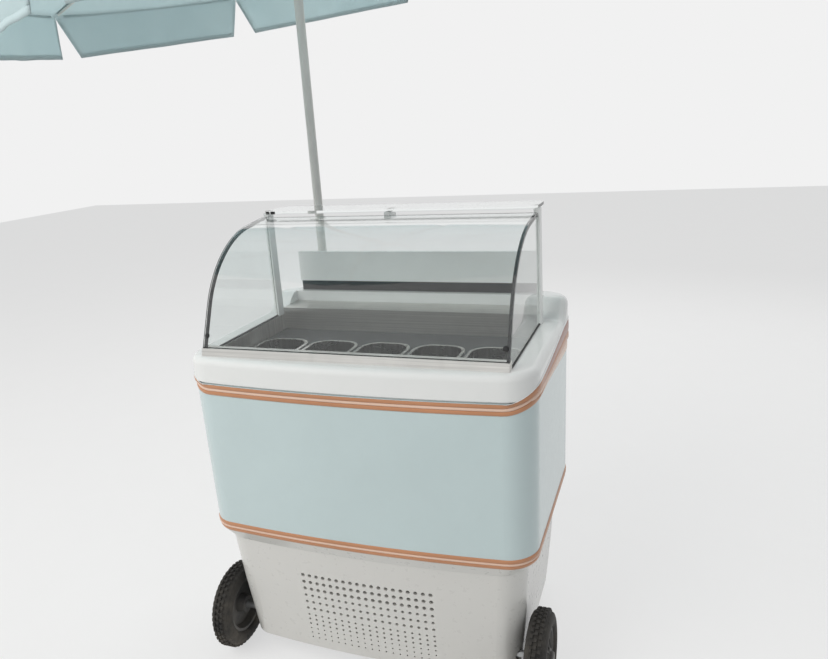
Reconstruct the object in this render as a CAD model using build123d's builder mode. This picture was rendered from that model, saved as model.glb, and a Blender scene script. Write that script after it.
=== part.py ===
"""Mobile scooping cart for ice cream, a round-cornered chest with a curved glass guard.

Units are millimetres. The chest is laid out round its own middle: X runs along it, +X to its
right end as the customer sees it, -Y is the customer's side, and +Z is up from the ground.
The finished pieces are then moved together, so that the origin lies on the ground under the
middle of the box round the whole cart with its parasol.
"""
from build123d import *

import os
from math import cos, radians, sin, tan

os.makedirs("parts", exist_ok=True)

# chest outline, shared by skirt, body and rim
FRONT_Y = -298.0
REAR_Y = 296.0
HALF_L = 466.0
BOW = 25.0
CORNER_R = 80.0
WALL = 30.0
WELL_BASE_T = 40.0
SKIRT_WALL = 14.0

# heights of the chest
SKIRT_Z0 = 68.0
SPLIT_Z = 446.0
BODY_TOP_Z = 868.0
RIM_TOP_Z = 940.0
GROOVE_H = 6.0
GROOVE_DEPTH = 4.0
RIM_OUT = 4.0
RIM_NOSE_R = 20.0
KERB_H = 52.0
SWEEP_Y0 = 138.0

# vent in the front of the skirt
VENT_COLS = 19
VENT_PITCH = 20.6
VENT_CUT_Y = -232.0
VENT_CUT = 120.0

# well and tubs
WELL_MARGIN = 66.0
WELL_HALF_X = HALF_L - WELL_MARGIN
WELL_FRONT = 38.0
WELL_REAR = 64.0
WELL_Y0 = FRONT_Y + WELL_FRONT
WELL_Y1 = REAR_Y - WELL_REAR
WELL_FLOOR_Z = 610.0
LINER_T = 2.0
DECK_Z = 892.0
DECK_T = 4.0
DECK_END = 3.0
TUB_COUNT = 5
TUB_PITCH = 2 * (WELL_HALF_X - LINER_T - DECK_END) / TUB_COUNT
TUB_SPACE = 24.0
TUB_W = TUB_PITCH - TUB_SPACE
TUB_FRONT = 28.0
TUB_LEN = 246.0
TUB_Y0 = WELL_Y0 + TUB_FRONT
TUB_SIDE = 44.0
TUB_R = (TUB_W - TUB_SIDE) / 2
TUB_DEPTH = 150.0
TUB_T = 2.0
TUB_FIT = 0.4
TUB_LIP_W = 7.0
TUB_LIP_H = 5.0
LEDGE_DEPTH = 95.0
LEDGE_TOP_Z = 960.0
LEDGE_T = 2.0

# glass guard
GUARD_OUT = 10.0
GUARD_HALF_X = WELL_HALF_X + GUARD_OUT
GLASS_T = 6.0
SILL_FRONT = 7.0
SILL_Y0 = FRONT_Y + SILL_FRONT
SILL_Y1 = WELL_Y0
SILL_H = 20.0
SILL_SLOPE = 5.0
GLASS_KNEE_IN = 58.0
GLASS_KNEE_H = 120.0
GLASS_LEAN = 67.0
GLASS_TOP_SLOPE = 6.0
GLASS_R = 300.0
GLASS_REAR_Y = 85.0
END_GAP = 0.4
END_IN = 1.0
SEAL_H = 4.0
SEAL_W = 9.0
POST_W = 15.0
POST_BACK = 19.0
POST_DEPTH = 32.0
POST_Y0 = GLASS_REAR_Y + POST_BACK
POST_Y1 = POST_Y0 + POST_DEPTH
CLAMP_X0 = -18.0
CLAMP_W = 16.0
CLAMP_H = 16.0
SHELF_FRONT = 14.0
SHELF_DEPTH = 128.0
SHELF_Y0 = POST_Y0 - SHELF_FRONT
SHELF_Y1 = SHELF_Y0 + SHELF_DEPTH
SHELF_T = 8.0
SHELF_LIFT = 8.0
SHELF_R = 26.0
UPSTAND_REAR = 34.0
UPSTAND_Y1 = REAR_Y - UPSTAND_REAR
UPSTAND_T = 14.0
UPSTAND_FOOT_H = 31.0
UPSTAND_FOOT_IN = 3.0
UPSTAND_H = 95.0
UPSTAND_END = 12.0

# running gear
WHEEL_R = 125.0
WHEEL_W = 58.0
WHEEL_Y = -220.0
WHEEL_IN = 10.0
WHEEL_X = HALF_L - WHEEL_IN
WHEEL_RIM_R = 80.0
AXLE_R = 10.0
AXLE_FIT = 0.3
AXLE_BORE_R = 16.0
BLOCK_IN = 150.0
BLOCK_X = HALF_L - BLOCK_IN
BLOCK_L = 30.0
BLOCK_W = 36.0
HUB_CAP_R = 19.0
HUB_CAP_T = 10.0
AXLE_END_IN = 6.0
TYRE_SHOULDER_R = 17.0
TYRE_SEAT_R = 6.0
TYRE_SEAT_GAP = 0.3
PAN_Z0 = 104.0
PAN_T = 4.0
PAN_STEP_Y = -20.0
PAN_HIGH_Z = 208.0
PAN_FIT = 0.4
UNIT_HALF_X = 190.0
UNIT_Y0 = -196.0
UNIT_DEPTH = 156.0
UNIT_H = 270.0
CASTER_IN = 214.0
CASTER_X = HALF_L - CASTER_IN
CASTER_Y = 112.0
CASTER_R = 80.0
CASTER_W = 36.0
CASTER_TRAIL = 38.0
CASTER_PIN_R = 6.0
CASTER_GAP = 2.5
CASTER_CHEEK_T = 4.0
CASTER_PLATE = (104.0, 84.0, 5.0)
CASTER_HEAD_R = 28.0
CASTER_HEAD_H = 10.0
SWIVEL_GAP = 0.4

# parasol: upright pole, tilt joint, leaning mast and eight-sided cloth
POLE_IN = 124.0
POLE_OUT = 33.0
POLE_X = POLE_IN - HALF_L
POLE_Y = REAR_Y + POLE_OUT
POLE_R = 14.0
POLE_FIT = 0.3
HOLDER_UP = 24.0
HOLDER_H = 350.0
HOLDER_Z0 = SPLIT_Z + HOLDER_UP
HOLDER_Z1 = HOLDER_Z0 + HOLDER_H
HOLDER_T = 4.0
HOLDER_EAR_W = 44.0
HOLDER_EAR_H = 30.0
TILT_Z = 1905.0
TILT = 8.0
TILT_TOWARDS = -129.2
KNUCKLE_R = 22.0
KNUCKLE_COLLAR = 34.0
RIB_COUNT = 8
RIB_TURN = 41.1
CLOTH_R = 981.0
CLOTH_T = 3.0
CLOTH_TOP_R = 40.0
VALANCE_LOW = -47.0
VALANCE_H = 150.0
VALANCE_SLIT = 100.0
CLOTH_RISE = 290.0
RIB_R = 4.5
RIB_FIT = 0.5
RIB_HUB_R = 32.0
RIB_HUB_DROP = 20.0
STRUT_R = 4.0
STRUT_REACH = 520.0
RUNNER_H = 78.0
RUNNER_R = 26.0

pieces = []


def save(solid, node):
    """Label one finished piece and keep it until all are moved to the shared origin."""
    solid.label = node
    pieces.append(solid)


def chest_plan(half, front, rear, bow, r):
    """Plan outline of the chest: straight ends and back, bowed front, rounded corners."""
    with BuildSketch() as plan:
        with BuildLine():
            Polyline((half, front), (half, rear), (-half, rear), (-half, front))
            ThreePointArc((-half, front), (0, front - bow), (half, front))
        make_face()
        fillet(plan.vertices(), r)
    return plan.sketch


def inset(row, depth):
    """Sizes of a chest outline moved inwards by a wall thickness."""
    half, front, rear, bow, r = row
    return (half - depth, front + depth, rear - depth, bow, r - depth)


# skirt, from the ground side up to the shoulder under the lower stripe
# columns: height, then how much less than the body's are half length, front line, rear line,
# bow and corner radius
SKIRT_TAPER = (
    (SKIRT_Z0, 66.0, 44.0, 38.0, 1.0, 14.0),
    (130.0, 59.0, 40.0, 35.0, 1.0, 12.0),
    (240.0, 48.0, 32.0, 29.0, 0.0, 10.0),
    (398.0, 36.0, 21.0, 19.0, 0.0, 6.0),
    (428.0, 10.0, 6.0, 3.0, 0.0, 2.0),
    (SPLIT_Z, 6.0, 2.0, 0.0, 0.0, 0.0),
)
SKIRT_ROWS = [
    (z, HALF_L - end, FRONT_Y + front, REAR_Y - rear, BOW - flat, CORNER_R - tight)
    for z, end, front, rear, flat, tight in SKIRT_TAPER
]
# columns: height of a row of vent holes, radius of its holes
VENT_ROWS = (
    (315.0, 5.7),
    (292.5, 5.7),
    (270.0, 5.7),
    (247.5, 4.6),
    (225.0, 4.6),
    (202.5, 4.6),
    (180.0, 3.6),
    (164.0, 3.6),
    (148.0, 3.6),
    (132.0, 2.6),
    (116.0, 2.6),
    (100.0, 2.6),
)
with BuildPart() as lower_skirt:
    for z, *row in SKIRT_ROWS:
        with BuildSketch(Plane.XY.offset(z)):
            add(chest_plan(*row))
    loft(ruled=True)
    for z, *row in SKIRT_ROWS:
        with BuildSketch(Plane.XY.offset(z)):
            add(chest_plan(*inset(row, SKIRT_WALL)))
    loft(ruled=True, mode=Mode.SUBTRACT)
    with BuildSketch(Plane.YZ):
        with Locations((WHEEL_Y, WHEEL_R)):
            Circle(AXLE_BORE_R)
    extrude(amount=HALF_L, both=True, mode=Mode.SUBTRACT)
    with BuildSketch(Plane.XZ.offset(-VENT_CUT_Y)):
        for z, hole_r in VENT_ROWS:
            with Locations((0, z)):
                with GridLocations(VENT_PITCH, 1, VENT_COLS, 1):
                    Circle(hole_r)
    extrude(amount=VENT_CUT, mode=Mode.SUBTRACT)
save(lower_skirt.part, "lower_skirt")

# body above the shoulder: machine space below, insulated walls round the well above
BODY_FOOT = SKIRT_ROWS[-1][1:]
BODY_HEAD = (HALF_L, FRONT_Y, REAR_Y, BOW, CORNER_R)
WELL_MID_Y = (WELL_Y0 + WELL_Y1) / 2
WELL_LEN = WELL_Y1 - WELL_Y0
with BuildPart() as upper_body:
    with BuildSketch(Plane.XY.offset(SPLIT_Z)):
        add(chest_plan(*BODY_FOOT))
    with BuildSketch(Plane.XY.offset(BODY_TOP_Z)):
        add(chest_plan(*BODY_HEAD))
    loft(ruled=True)
    with BuildSketch(Plane.XY.offset(SPLIT_Z)):
        add(chest_plan(*inset(BODY_FOOT, WALL)))
    extrude(amount=WELL_FLOOR_Z - WELL_BASE_T - SPLIT_Z, mode=Mode.SUBTRACT)
    with BuildSketch(Plane.XY.offset(WELL_FLOOR_Z)):
        with Locations((0, WELL_MID_Y)):
            Rectangle(2 * WELL_HALF_X, WELL_LEN)
    extrude(amount=BODY_TOP_Z - WELL_FLOOR_Z, mode=Mode.SUBTRACT)
save(upper_body.part, "upper_body")

# rim moulding: shadow groove, rounded nose, and a top that sweeps up to the kerb at the back
RIM_ROW = inset(BODY_HEAD, -RIM_OUT)
RIM_BASE_Z = BODY_TOP_Z + GROOVE_H
KERB_TOP_Z = RIM_TOP_Z + KERB_H
with BuildPart() as rim_moulding:
    with BuildSketch(Plane.XY.offset(BODY_TOP_Z)):
        add(chest_plan(*inset(BODY_HEAD, GROOVE_DEPTH)))
    extrude(amount=GROOVE_H)
    with BuildSketch(Plane.XY.offset(RIM_BASE_Z)):
        add(chest_plan(*RIM_ROW))
    extrude(amount=KERB_TOP_Z - RIM_BASE_Z)
    with BuildSketch(Plane.YZ):
        with BuildLine():
            Polyline(
                (WELL_Y1, KERB_TOP_Z), (-HALF_L, KERB_TOP_Z), (-HALF_L, RIM_TOP_Z),
                (SWEEP_Y0, RIM_TOP_Z),
            )
            Spline((SWEEP_Y0, RIM_TOP_Z), (WELL_Y1, KERB_TOP_Z), tangents=((1, 0), (1, 0)))
        make_face()
    extrude(amount=2 * HALF_L, both=True, mode=Mode.SUBTRACT)
    fillet(edges().group_by(Axis.Z)[-1].sort_by(Axis.Y)[-1], RIM_NOSE_R)
    with BuildSketch(Plane.XY.offset(BODY_TOP_Z)):
        with Locations((0, WELL_MID_Y)):
            Rectangle(2 * WELL_HALF_X, WELL_LEN)
    extrude(amount=KERB_TOP_Z - BODY_TOP_Z, mode=Mode.SUBTRACT)
save(rim_moulding.part, "rim_moulding")

# open steel well that hangs in the rim
with BuildPart() as well_liner:
    with BuildSketch(Plane.XY.offset(WELL_FLOOR_Z)):
        with Locations((0, WELL_MID_Y)):
            Rectangle(2 * WELL_HALF_X, WELL_LEN)
    extrude(amount=RIM_TOP_Z - WELL_FLOOR_Z)
    with BuildSketch(Plane.XY.offset(WELL_FLOOR_Z + LINER_T)):
        with Locations((0, WELL_MID_Y)):
            Rectangle(2 * (WELL_HALF_X - LINER_T), WELL_LEN - 2 * LINER_T)
    extrude(amount=RIM_TOP_Z - WELL_FLOOR_Z, mode=Mode.SUBTRACT)
save(well_liner.part, "well_liner")

# deck with one round-ended opening for each tub
TUB_MID_Y = TUB_Y0 + TUB_LEN / 2
TUB_XS = [(i - (TUB_COUNT - 1) / 2) * TUB_PITCH for i in range(TUB_COUNT)]
DECK_Y0 = WELL_Y0 + LINER_T
LEDGE_Y1 = WELL_Y1 - LINER_T
LEDGE_Y0 = LEDGE_Y1 - LEDGE_DEPTH
with BuildPart() as tub_deck:
    with BuildSketch(Plane.XY.offset(DECK_Z - DECK_T)):
        with Locations((0, (DECK_Y0 + LEDGE_Y0) / 2)):
            Rectangle(2 * (WELL_HALF_X - LINER_T), LEDGE_Y0 - DECK_Y0)
        with Locations(*[(x, TUB_MID_Y) for x in TUB_XS]):
            RectangleRounded(
                TUB_W + 2 * TUB_FIT, TUB_LEN + 2 * TUB_FIT, TUB_R + TUB_FIT, mode=Mode.SUBTRACT
            )
    extrude(amount=DECK_T)
save(tub_deck.part, "tub_deck")

# tubs, each hung by its lip on the deck
for number, x in enumerate(TUB_XS, 1):
    with BuildPart() as tub:
        with BuildSketch(Plane.XY.offset(DECK_Z - TUB_DEPTH)):
            with Locations((x, TUB_MID_Y)):
                RectangleRounded(TUB_W, TUB_LEN, TUB_R)
        extrude(amount=TUB_DEPTH + TUB_LIP_H)
        with BuildSketch(Plane.XY.offset(DECK_Z)):
            with Locations((x, TUB_MID_Y)):
                RectangleRounded(TUB_W + 2 * TUB_LIP_W, TUB_LEN + 2 * TUB_LIP_W, TUB_R + TUB_LIP_W)
        extrude(amount=TUB_LIP_H)
        with BuildSketch(Plane.XY.offset(DECK_Z - TUB_DEPTH + TUB_T)):
            with Locations((x, TUB_MID_Y)):
                RectangleRounded(TUB_W - 2 * TUB_T, TUB_LEN - 2 * TUB_T, TUB_R - TUB_T)
        extrude(amount=TUB_DEPTH + TUB_LIP_H, mode=Mode.SUBTRACT)
    save(tub.part, f"tub_{number}")

# steel ledge behind the tubs: a riser and a flat top
with BuildPart() as rear_ledge:
    with BuildSketch(Plane.YZ.offset(-(WELL_HALF_X - LINER_T))):
        with BuildLine():
            Polyline(
                (LEDGE_Y0, DECK_Z - DECK_T),
                (LEDGE_Y0 + LEDGE_T, DECK_Z - DECK_T),
                (LEDGE_Y0 + LEDGE_T, LEDGE_TOP_Z - LEDGE_T),
                (LEDGE_Y1, LEDGE_TOP_Z - LEDGE_T),
                (LEDGE_Y1, LEDGE_TOP_Z),
                (LEDGE_Y0, LEDGE_TOP_Z),
                close=True,
            )
        make_face()
    extrude(amount=2 * (WELL_HALF_X - LINER_T))
save(rear_ledge.part, "rear_ledge")

# upstand on the kerb along the server's side, on its dark foot
UPSTAND_HALF_X = WELL_HALF_X - UPSTAND_END
UPSTAND_FOOT_Z = KERB_TOP_Z + UPSTAND_FOOT_H
# columns: node, bottom, top, inset
for node, z0, z1, edge in (
    ("upstand_foot", KERB_TOP_Z, UPSTAND_FOOT_Z, UPSTAND_FOOT_IN),
    ("rear_upstand", UPSTAND_FOOT_Z, UPSTAND_FOOT_Z + UPSTAND_H, 0.0),
):
    with BuildPart() as board:
        with BuildSketch(Plane.XY.offset(z0)):
            with Locations((0, UPSTAND_Y1 - UPSTAND_T / 2)):
                Rectangle(2 * (UPSTAND_HALF_X - edge), UPSTAND_T - 2 * edge)
        extrude(amount=z1 - z0)
    save(board.part, node)

# sill bar under the front glass
SILL_TOP_Z = RIM_TOP_Z + SILL_H
with BuildPart() as sill_strip:
    with BuildSketch(Plane.YZ.offset(-GUARD_HALF_X)):
        with BuildLine():
            Polyline(
                (SILL_Y0, RIM_TOP_Z),
                (SILL_Y1, RIM_TOP_Z),
                (SILL_Y1, SILL_TOP_Z),
                (SILL_Y0 + SILL_SLOPE, SILL_TOP_Z),
                close=True,
            )
        make_face()
    extrude(amount=2 * GUARD_HALF_X)
save(sill_strip.part, "sill_strip")

# front glass: a leaning foot, one bend and a nearly level top
KNEE_Y = FRONT_Y + GLASS_KNEE_IN
KNEE_Z = RIM_TOP_Z + GLASS_KNEE_H
BEND_Y = KNEE_Y + GLASS_R * sin(radians(GLASS_LEAN))
BEND_Z = KNEE_Z - GLASS_R * cos(radians(GLASS_LEAN))
MID_ANGLE = (GLASS_LEAN + GLASS_TOP_SLOPE) / 2
INNER_R = GLASS_R - GLASS_T


def on_bend(angle, radius):
    """Point on the bend at a tangent angle above the level, in the YZ plane."""
    return (BEND_Y - radius * sin(radians(angle)), BEND_Z + radius * cos(radians(angle)))


def top_end(radius, end_y):
    """End of the straight top that leaves the bend at the given radius."""
    y, z = on_bend(GLASS_TOP_SLOPE, radius)
    return (end_y, z + (end_y - y) * tan(radians(GLASS_TOP_SLOPE)))


def foot(radius):
    """Foot of the straight front that enters the bend at the given radius."""
    y, z = on_bend(GLASS_LEAN, radius)
    return (y - (z - SILL_TOP_Z) / tan(radians(GLASS_LEAN)), SILL_TOP_Z)


with BuildPart() as front_glass:
    with BuildSketch(Plane.YZ.offset(-GUARD_HALF_X)):
        with BuildLine():
            Line(foot(GLASS_R), on_bend(GLASS_LEAN, GLASS_R))
            ThreePointArc(
                on_bend(GLASS_LEAN, GLASS_R),
                on_bend(MID_ANGLE, GLASS_R),
                on_bend(GLASS_TOP_SLOPE, GLASS_R),
            )
            Line(on_bend(GLASS_TOP_SLOPE, GLASS_R), top_end(GLASS_R, GLASS_REAR_Y))
            Line(top_end(GLASS_R, GLASS_REAR_Y), top_end(INNER_R, GLASS_REAR_Y))
            Line(top_end(INNER_R, GLASS_REAR_Y), on_bend(GLASS_TOP_SLOPE, INNER_R))
            ThreePointArc(
                on_bend(GLASS_TOP_SLOPE, INNER_R),
                on_bend(MID_ANGLE, INNER_R),
                on_bend(GLASS_LEAN, INNER_R),
            )
            Line(on_bend(GLASS_LEAN, INNER_R), foot(INNER_R))
            Line(foot(INNER_R), foot(GLASS_R))
        make_face()
    extrude(amount=2 * GUARD_HALF_X)
save(front_glass.part, "front_glass")

# end glasses inside the front glass, on a thin seal
GLASS_TOP_Z = top_end(GLASS_R, GLASS_REAR_Y)[1]
SHELF_Z0 = GLASS_TOP_Z + SHELF_LIFT
END_R = INNER_R - END_GAP
END_X1 = GUARD_HALF_X - END_IN
END_X0 = END_X1 - GLASS_T
END_MID_X = (END_X0 + END_X1) / 2
END_Z0 = RIM_TOP_Z + SEAL_H
END_FOOT_Y = SILL_Y1 + END_GAP
for side, sign in (("left", -1), ("right", 1)):
    with BuildPart() as end_glass:
        with BuildSketch(Plane.YZ.offset(sign * END_MID_X - GLASS_T / 2)):
            with BuildLine():
                Polyline((POST_Y0, END_Z0), (END_FOOT_Y, END_Z0), (END_FOOT_Y, SILL_TOP_Z))
                Line((END_FOOT_Y, SILL_TOP_Z), foot(END_R))
                Line(foot(END_R), on_bend(GLASS_LEAN, END_R))
                ThreePointArc(
                    on_bend(GLASS_LEAN, END_R),
                    on_bend(MID_ANGLE, END_R),
                    on_bend(GLASS_TOP_SLOPE, END_R),
                )
                Line(on_bend(GLASS_TOP_SLOPE, END_R), top_end(END_R, POST_Y0))
                Line(top_end(END_R, POST_Y0), (POST_Y0, END_Z0))
            make_face()
        extrude(amount=GLASS_T)
    save(end_glass.part, f"end_glass_{side}")
    with BuildPart() as end_seal:
        with BuildSketch(Plane.XY.offset(RIM_TOP_Z)):
            with Locations((sign * END_MID_X, (END_FOOT_Y + POST_Y0) / 2)):
                Rectangle(SEAL_W, POST_Y0 - END_FOOT_Y)
        extrude(amount=SEAL_H)
    save(end_seal.part, f"end_seal_{side}")
    with BuildPart() as post:
        with BuildSketch(Plane.XY.offset(RIM_TOP_Z)):
            with Locations((sign * END_MID_X, (POST_Y0 + POST_Y1) / 2)):
                Rectangle(POST_W, POST_Y1 - POST_Y0)
        extrude(amount=SHELF_Z0 - RIM_TOP_Z)
    save(post.part, f"post_{side}")

# clamp in the middle of the top, and the shelf on posts and clamp
with BuildPart() as top_clamp:
    with BuildSketch(Plane.YZ.offset(CLAMP_X0)):
        with Locations(((GLASS_REAR_Y + POST_Y1) / 2, (SHELF_Z0 + GLASS_TOP_Z - CLAMP_H) / 2)):
            Rectangle(POST_Y1 - GLASS_REAR_Y, CLAMP_H + SHELF_LIFT)
    extrude(amount=CLAMP_W)
save(top_clamp.part, "top_clamp")
with BuildPart() as shelf_glass:
    with BuildSketch(Plane.XY.offset(SHELF_Z0)):
        with Locations((0, (SHELF_Y0 + SHELF_Y1) / 2)):
            Rectangle(2 * GUARD_HALF_X, SHELF_Y1 - SHELF_Y0)
        fillet(vertices(), SHELF_R)
    extrude(amount=SHELF_T)
save(shelf_glass.part, "shelf_glass")


def skirt_row(z):
    """Outline sizes of the skirt at a height between two of its rows."""
    for low, high in zip(SKIRT_ROWS, SKIRT_ROWS[1:]):
        if z <= high[0]:
            share = (z - low[0]) / (high[0] - low[0])
            return [a + share * (b - a) for a, b in zip(low[1:], high[1:])]


# base pan: low floor under the machine, high floor over the casters
PAN_ROW = inset(skirt_row(PAN_Z0), SKIRT_WALL + PAN_FIT)
PAN_TOP_Z = PAN_Z0 + PAN_T
with BuildPart() as base_pan:
    with BuildSketch(Plane.YZ.offset(-HALF_L)):
        with BuildLine():
            Polyline(
                (-HALF_L, PAN_Z0),
                (PAN_STEP_Y, PAN_Z0),
                (PAN_STEP_Y, PAN_HIGH_Z - PAN_T),
                (HALF_L, PAN_HIGH_Z - PAN_T),
                (HALF_L, PAN_HIGH_Z),
                (PAN_STEP_Y - PAN_T, PAN_HIGH_Z),
                (PAN_STEP_Y - PAN_T, PAN_TOP_Z),
                (-HALF_L, PAN_TOP_Z),
                close=True,
            )
        make_face()
    extrude(amount=2 * HALF_L)
    with BuildSketch(Plane.XY.offset(PAN_Z0)):
        add(chest_plan(*PAN_ROW))
    extrude(amount=PAN_HIGH_Z - PAN_Z0, mode=Mode.INTERSECT)
save(base_pan.part, "base_pan")

with BuildPart() as cooling_unit:
    with BuildSketch(Plane.XY.offset(PAN_TOP_Z)):
        with Locations((0, UNIT_Y0 + UNIT_DEPTH / 2)):
            Rectangle(2 * UNIT_HALF_X, UNIT_DEPTH)
    extrude(amount=UNIT_H)
save(cooling_unit.part, "cooling_unit")

# axle on its two blocks
AXLE_END_X = WHEEL_X + WHEEL_W / 2 - AXLE_END_IN
BLOCK_TOP_Z = WHEEL_R + 2 * AXLE_R
with BuildPart() as axle:
    with BuildSketch(Plane.YZ.offset(-AXLE_END_X)):
        with Locations((WHEEL_Y, WHEEL_R)):
            Circle(AXLE_R)
    extrude(amount=2 * AXLE_END_X)
save(axle.part, "axle")
for side, sign in (("left", -1), ("right", 1)):
    with BuildPart() as axle_block:
        with BuildSketch(Plane.YZ.offset(sign * BLOCK_X - BLOCK_L / 2)):
            with Locations((WHEEL_Y, (PAN_TOP_Z + BLOCK_TOP_Z) / 2)):
                Rectangle(BLOCK_W, BLOCK_TOP_Z - PAN_TOP_Z)
            with Locations((WHEEL_Y, WHEEL_R)):
                Circle(AXLE_R + AXLE_FIT, mode=Mode.SUBTRACT)
        extrude(amount=BLOCK_L)
    save(axle_block.part, f"axle_block_{side}")

# road wheels: tyre and dished wheel, turning on the axle
RIM_IN_X = WHEEL_X - WHEEL_W / 2 + 8.0
RIM_OUT_X = WHEEL_X + WHEEL_W / 2 - 8.0
CAP_X = RIM_OUT_X + 4.2
AXLE_SPOT = Location((0, WHEEL_Y, WHEEL_R))
for side, sign in (("left", -1), ("right", 1)):
    with BuildPart() as tyre:
        with BuildSketch(Plane.XY):
            with Locations((sign * WHEEL_X, (WHEEL_R + WHEEL_RIM_R) / 2)):
                Rectangle(WHEEL_W, WHEEL_R - WHEEL_RIM_R)
            fillet(vertices().sort_by(Axis.Y)[2:], TYRE_SHOULDER_R)
            fillet(vertices().sort_by(Axis.Y)[:2], TYRE_SEAT_R)
        revolve(axis=Axis.X)
    save(tyre.part.moved(AXLE_SPOT), f"tyre_{side}")
    with BuildPart() as wheel:
        with BuildSketch(Plane.XY):
            with BuildLine():
                Polyline(
                    (sign * RIM_IN_X, WHEEL_RIM_R - TYRE_SEAT_GAP),
                    (sign * RIM_OUT_X, WHEEL_RIM_R - TYRE_SEAT_GAP),
                    (sign * RIM_OUT_X, WHEEL_RIM_R - 8.0),
                    (sign * (RIM_OUT_X - 12.0), WHEEL_RIM_R - 14.0),
                    (sign * (RIM_OUT_X - 12.0), 30.0),
                    (sign * (RIM_OUT_X + 4.0), 26.0),
                    (sign * (RIM_OUT_X + 4.0), AXLE_R + AXLE_FIT),
                    (sign * (RIM_IN_X - 4.0), AXLE_R + AXLE_FIT),
                    (sign * (RIM_IN_X - 4.0), 24.0),
                    (sign * (RIM_OUT_X - 22.0), 28.0),
                    (sign * (RIM_OUT_X - 22.0), WHEEL_RIM_R - 16.0),
                    (sign * RIM_IN_X, WHEEL_RIM_R - 9.0),
                    close=True,
                )
            make_face()
        revolve(axis=Axis.X)
    save(wheel.part.moved(AXLE_SPOT), f"wheel_{side}")
    with BuildPart() as hub_cap:
        with BuildSketch(Plane.YZ.offset(sign * CAP_X)):
            with Locations((WHEEL_Y, WHEEL_R)):
                Circle(HUB_CAP_R)
        extrude(amount=sign * HUB_CAP_T)
        fillet(faces().sort_by(Axis.X)[0 if sign < 0 else -1].edges(), 5.0)
        with BuildSketch(Plane.YZ):
            with Locations((WHEEL_Y, WHEEL_R)):
                Circle(AXLE_R + AXLE_FIT)
        extrude(amount=AXLE_END_X + AXLE_FIT, both=True, mode=Mode.SUBTRACT)
    save(hub_cap.part, f"hub_cap_{side}")

# swivel casters under the high floor
CASTER_AXLE_Y = CASTER_Y + CASTER_TRAIL
PLATE_W, PLATE_D, PLATE_T = CASTER_PLATE
PLATE_Z0 = PAN_HIGH_Z - PAN_T - PLATE_T
HEAD_Z1 = PLATE_Z0 - SWIVEL_GAP
CROWN_Z1 = HEAD_Z1 - CASTER_HEAD_H
FORK_IN = CASTER_W / 2 + CASTER_GAP
for side, sign in (("left", -1), ("right", 1)):
    x = sign * CASTER_X
    with BuildPart() as caster_plate:
        with BuildSketch(Plane.XY.offset(PLATE_Z0)):
            with Locations((x, CASTER_Y)):
                Rectangle(PLATE_W, PLATE_D)
        extrude(amount=PLATE_T)
    save(caster_plate.part, f"caster_plate_{side}")
    with BuildPart() as caster_fork:
        with BuildSketch(Plane.XY.offset(CROWN_Z1)):
            with Locations((x, CASTER_Y)):
                Circle(CASTER_HEAD_R)
        extrude(amount=CASTER_HEAD_H)
        with BuildSketch(Plane.XY.offset(CROWN_Z1 - CASTER_CHEEK_T)):
            with Locations((x, CASTER_Y + 6.0)):
                Rectangle(2 * (FORK_IN + CASTER_CHEEK_T), 64.0)
        extrude(amount=CASTER_CHEEK_T)
        for cheek in (-1, 1):
            cheek_x = x + cheek * (FORK_IN + CASTER_CHEEK_T / 2)
            with BuildSketch(Plane.YZ.offset(cheek_x - CASTER_CHEEK_T / 2)):
                with BuildLine():
                    Polyline(
                        (CASTER_Y - 26.0, CROWN_Z1),
                        (CASTER_Y + 38.0, CROWN_Z1),
                        (CASTER_AXLE_Y + 16.0, CASTER_R - 10.0),
                        (CASTER_AXLE_Y - 14.0, CASTER_R - 14.0),
                        close=True,
                    )
                make_face()
            extrude(amount=CASTER_CHEEK_T)
        with BuildSketch(Plane.YZ.offset(x - FORK_IN - CASTER_CHEEK_T - 4.0)):
            with Locations((CASTER_AXLE_Y, CASTER_R)):
                Circle(CASTER_PIN_R)
        extrude(amount=2 * (FORK_IN + CASTER_CHEEK_T + 4.0))
    save(caster_fork.part, f"caster_fork_{side}")
    with BuildPart() as caster_wheel:
        with BuildSketch(Plane.YZ.offset(x - CASTER_W / 2)):
            with Locations((CASTER_AXLE_Y, CASTER_R)):
                Circle(CASTER_R)
                Circle(CASTER_PIN_R + AXLE_FIT, mode=Mode.SUBTRACT)
        extrude(amount=CASTER_W)
        fillet(edges().filter_by(GeomType.CIRCLE).sort_by(SortBy.RADIUS)[-2:], 7.0)
    save(caster_wheel.part, f"caster_wheel_{side}")

# holder on the back of the chest and the upright pole
POLE_SPOT = (POLE_X, POLE_Y)
TUBE_R = POLE_R + POLE_FIT + HOLDER_T
with BuildPart() as parasol_holder:
    with BuildSketch(Plane.XY.offset(HOLDER_Z0 - HOLDER_T)):
        with Locations(POLE_SPOT):
            Circle(TUBE_R)
    extrude(amount=HOLDER_Z1 - HOLDER_Z0 + HOLDER_T)
    for z in (HOLDER_Z0 + HOLDER_EAR_H, HOLDER_Z1 - 2 * HOLDER_EAR_H):
        with BuildSketch(Plane.XY.offset(z)):
            with Locations((POLE_X, (REAR_Y + POLE_Y) / 2)):
                Rectangle(HOLDER_EAR_W, POLE_Y - REAR_Y)
        extrude(amount=HOLDER_EAR_H)
    with BuildSketch(Plane.XY.offset(HOLDER_Z0)):
        with Locations(POLE_SPOT):
            Circle(POLE_R + POLE_FIT)
    extrude(amount=HOLDER_Z1 - HOLDER_Z0, mode=Mode.SUBTRACT)
save(parasol_holder.part, "parasol_holder")
POLE_END = KNUCKLE_R / 2
with BuildPart() as parasol_pole:
    with BuildSketch(Plane.XY.offset(HOLDER_Z0)):
        with Locations(POLE_SPOT):
            Circle(POLE_R)
    extrude(amount=TILT_Z - POLE_END - HOLDER_Z0)
save(parasol_pole.part, "parasol_pole")

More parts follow.
